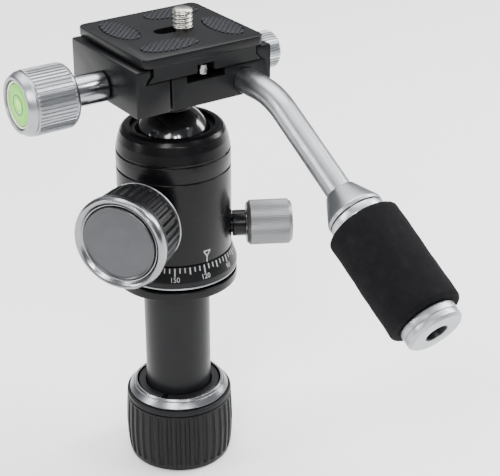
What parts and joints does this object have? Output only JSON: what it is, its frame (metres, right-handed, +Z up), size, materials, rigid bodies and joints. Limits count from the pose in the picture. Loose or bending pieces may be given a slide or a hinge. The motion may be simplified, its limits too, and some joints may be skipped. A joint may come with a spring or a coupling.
{
  "type": "ball head with pan handle",
  "caption": "Camera or scope mount: ball head with pan base, quick-release clamp and pan handle, on a sliding column with a twist-lock collar.",
  "frame": {"origin": "on the column's axis, at the flat underside of the lock collar's bush", "axes": "+Z up along the column; +X across the clamp's jaws, towards the handle lock; -Y along the clamp's slot, to the side where the pan handle leaves"},
  "size_m": [0.0912, 0.1365, 0.159],
  "materials": {
    "base_bush": "plain",
    "collet": "plain",
    "collar_core": "plain",
    "collar_grip": "moulded, matt",
    "collar_ring": "turned, satin",
    "column_tube": "dark grey anodised, satin",
    "column_end_cap": "plain",
    "column_top_plate": "black satin paint",
    "head_stud": "bright zinc plated",
    "grub_screw_1": "bright zinc plated",
    "grub_screw_2": "bright zinc plated",
    "grub_screw_3": "bright zinc plated",
    "pan_base": "black anodised, satin",
    "pan_bearing": "plain",
    "pan_hub_ring": "bright zinc plated",
    "housing": "black satin paint",
    "pan_turntable": "turned, satin",
    "pressure_block": "turned",
    "cup_spring": "bright zinc plated",
    "ball_cup": "plain",
    "upper_seat": "plain",
    "lock_wedge": "bright zinc plated",
    "lock_screw": "bright zinc plated",
    "lock_knob_hub": "black satin paint",
    "lock_knob_grip": "moulded, matt",
    "lock_knob_ring": "turned, satin",
    "lock_knob_cap": "turned, satin",
    "pan_lock_pad": "plain",
    "pan_screw": "bright zinc plated",
    "pan_knob_stem": "black gloss",
    "pan_knob_head": "turned, satin",
    "ball": "black gloss",
    "ball_neck": "bright zinc plated",
    "clamp_body": "black anodised, satin",
    "clamp_screw": "bright zinc plated",
    "guide_pin_1": "bright zinc plated",
    "guide_pin_2": "bright zinc plated",
    "moving_jaw": "black anodised, satin",
    "clamp_bolt": "bright zinc plated",
    "clamp_knob_shaft": "turned, satin",
    "clamp_knob_head": "turned, satin",
    "level_cup": "plain",
    "level_vial": "clear, green liquid",
    "plate": "black anodised, satin",
    "pad_1": "moulded, matt",
    "pad_2": "moulded, matt",
    "pad_3": "moulded, matt",
    "pad_4": "moulded, matt",
    "stop_screw_front": "nickel plated",
    "stop_screw_rear": "nickel plated",
    "screw_washer": "bright zinc plated",
    "camera_screw": "nickel plated",
    "handle_arm": "turned, satin",
    "handle_ferrule": "turned, satin",
    "ferrule_ring": "turned, satin",
    "foam_grip": "closed-cell foam, matt",
    "handle_end_cap": "turned, satin",
    "handle_lock_tip": "plain",
    "handle_lock_knob": "turned, satin"
  },
  "bodies": {
    "base": {"base_bush": "base_bush", "collet": "collet"},
    "lock_collar": {"collar_core": "collar_core", "collar_grip": "collar_grip", "collar_ring": "collar_ring"},
    "column": {"column_tube": "column_tube", "column_end_cap": "column_end_cap", "column_top_plate": "column_top_plate", "head_stud": "head_stud", "grub_screw_1": "grub_screw_1", "grub_screw_2": "grub_screw_2", "grub_screw_3": "grub_screw_3", "pan_base": "pan_base", "pan_bearing": "pan_bearing", "pan_hub_ring": "pan_hub_ring"},
    "housing": {"housing": "housing", "pan_turntable": "pan_turntable", "pressure_block": "pressure_block", "cup_spring": "cup_spring", "ball_cup": "ball_cup", "upper_seat": "upper_seat"},
    "lock_wedge": {"lock_wedge": "lock_wedge"},
    "lock_knob": {"lock_screw": "lock_screw", "lock_knob_hub": "lock_knob_hub", "lock_knob_grip": "lock_knob_grip", "lock_knob_ring": "lock_knob_ring", "lock_knob_cap": "lock_knob_cap"},
    "pan_pad": {"pan_lock_pad": "pan_lock_pad"},
    "pan_knob": {"pan_screw": "pan_screw", "pan_knob_stem": "pan_knob_stem", "pan_knob_head": "pan_knob_head"},
    "ball": {"ball": "ball"},
    "neck": {"ball_neck": "ball_neck"},
    "clamp": {"clamp_body": "clamp_body", "clamp_screw": "clamp_screw", "guide_pin_1": "guide_pin_1", "guide_pin_2": "guide_pin_2"},
    "jaw": {"moving_jaw": "moving_jaw"},
    "clamp_knob": {"clamp_bolt": "clamp_bolt", "clamp_knob_shaft": "clamp_knob_shaft", "clamp_knob_head": "clamp_knob_head", "level_cup": "level_cup", "level_vial": "level_vial"},
    "plate": {"plate": "plate", "pad_1": "pad_1", "pad_2": "pad_2", "pad_3": "pad_3", "pad_4": "pad_4", "stop_screw_front": "stop_screw_front", "stop_screw_rear": "stop_screw_rear"},
    "screw_washer": {"screw_washer": "screw_washer"},
    "camera_screw": {"camera_screw": "camera_screw"},
    "handle": {"handle_arm": "handle_arm", "handle_ferrule": "handle_ferrule", "ferrule_ring": "ferrule_ring", "foam_grip": "foam_grip", "handle_end_cap": "handle_end_cap"},
    "handle_lock_tip": {"handle_lock_tip": "handle_lock_tip"},
    "handle_lock": {"handle_lock_knob": "handle_lock_knob"}
  },
  "joints": [
    {"name": "collar_turn", "type": "hinge", "parent": "base", "child": "lock_collar", "pos_m": [0, 0, 0.0125], "axis": [0, 0, 1], "range_deg": [0, 90]},
    {"name": "column_slide", "type": "slide", "parent": "base", "child": "column", "axis": [0, 0, 1], "range_m": [0, 0.012]},
    {"name": "pan", "type": "hinge", "parent": "column", "child": "housing", "pos_m": [0, 0, 0.08597], "axis": [0, 0, 1], "continuous": true},
    {"name": "lock_travel", "type": "slide", "parent": "housing", "child": "lock_wedge", "axis": [-0.8396, -0.5432, 0], "range_m": [-0.0001, 0.001]},
    {"name": "lock_turn", "type": "hinge", "parent": "lock_wedge", "child": "lock_knob", "pos_m": [0, 0, 0.0974], "axis": [-0.8396, -0.5432, 0], "range_deg": [-36, 360]},
    {"name": "pan_lock_travel", "type": "slide", "parent": "housing", "child": "pan_pad", "axis": [0.875, -0.484, 0], "range_m": [-0.0002, 0.003]},
    {"name": "pan_lock_turn", "type": "hinge", "parent": "pan_pad", "child": "pan_knob", "pos_m": [0, 0, 0.08597], "axis": [0.875, -0.484, 0], "range_deg": [-72, 1080]},
    {"name": "ball_tilt", "type": "hinge", "parent": "housing", "child": "ball", "pos_m": [0, 0, 0.1162], "axis": [1, 0, 0], "range_deg": [-30, 30]},
    {"name": "ball_side_tilt", "type": "hinge", "parent": "ball", "child": "neck", "pos_m": [0, 0, 0.1162], "axis": [0, 1, 0], "range_deg": [-30, 30]},
    {"name": "ball_swivel", "type": "hinge", "parent": "neck", "child": "clamp", "pos_m": [0, 0, 0.1162], "axis": [0, 0, 1], "continuous": true},
    {"name": "jaw_travel", "type": "slide", "parent": "clamp", "child": "jaw", "axis": [-1, 0, 0], "range_m": [0, 0.004]},
    {"name": "clamp_knob_turn", "type": "hinge", "parent": "jaw", "child": "clamp_knob", "pos_m": [-0.045, 0, 0.1396], "axis": [-1, 0, 0], "range_deg": [0, 1440]},
    {"name": "plate_slide", "type": "slide", "parent": "clamp", "child": "plate", "axis": [0, 1, 0], "range_m": [-0.006, 0.006]},
    {"name": "screw_slide", "type": "slide", "parent": "plate", "child": "screw_washer", "axis": [1, 0, 0], "range_m": [-0.0074, 0]},
    {"name": "screw_turn", "type": "hinge", "parent": "screw_washer", "child": "camera_screw", "pos_m": [0.00455, 0, 0.15], "axis": [0, 0, 1], "continuous": true},
    {"name": "handle_turn", "type": "hinge", "parent": "clamp", "child": "handle", "pos_m": [0.01424, -0.02, 0.1395], "axis": [0, 1, 0], "continuous": true},
    {"name": "handle_lock_travel", "type": "slide", "parent": "clamp", "child": "handle_lock_tip", "axis": [1, 0, 0], "range_m": [-0.00016, 0.0016]},
    {"name": "handle_lock_turn", "type": "hinge", "parent": "handle_lock_tip", "child": "handle_lock", "pos_m": [0.033, 0, 0.1395], "axis": [1, 0, 0], "range_deg": [-72, 720]}
  ],
  "couplings": [
    {"joint": "lock_turn", "follows": "lock_travel", "rad_per_m": 6283.2},
    {"joint": "pan_lock_turn", "follows": "pan_lock_travel", "rad_per_m": 6283.2},
    {"joint": "clamp_knob_turn", "follows": "jaw_travel", "rad_per_m": 6283.2},
    {"joint": "handle_lock_turn", "follows": "handle_lock_travel", "rad_per_m": 7854}
  ]
}
